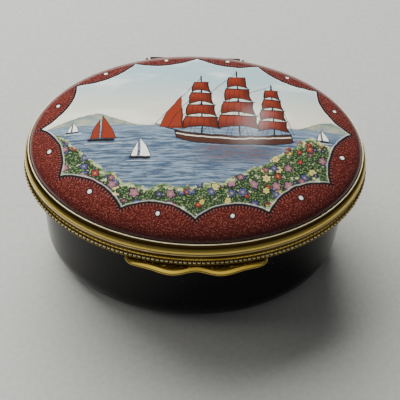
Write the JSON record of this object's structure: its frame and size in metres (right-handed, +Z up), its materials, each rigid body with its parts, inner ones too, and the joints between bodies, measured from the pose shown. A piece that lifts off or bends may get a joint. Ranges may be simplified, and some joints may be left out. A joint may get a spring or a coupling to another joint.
{
  "type": "enamel trinket box",
  "caption": "Oval enamelled trinket box with a domed, hinged lid in moulded gilt mounts and a wavy thumbpiece, hollow inside, for keeping small things.",
  "frame": {"origin": "centre of the bowl's flat underside, on the surface that the box stands on", "axes": "+X along the long way of the oval, +Y to the hinge at the back, +Z up"},
  "size_m": [0.064, 0.052, 0.034],
  "materials": {
    "bowl_enamel": "gloss",
    "dome_enamel": "gloss",
    "gilt": "polished"
  },
  "bodies": {
    "base": {"base_bowl": "bowl_enamel", "base_mount": "gilt", "hinge_base_leaf": "gilt", "hinge_pin": "gilt"},
    "lid": {"lid_dome": "dome_enamel", "lid_mount": "gilt", "thumbpiece": "gilt", "hinge_lid_leaf": "gilt"}
  },
  "joints": [
    {"name": "lid_hinge", "type": "hinge", "parent": "base", "child": "lid", "pos_m": [0, 0.02567, 0.02493], "axis": [-1, 0, 0], "range_deg": [0, 100]}
  ]
}
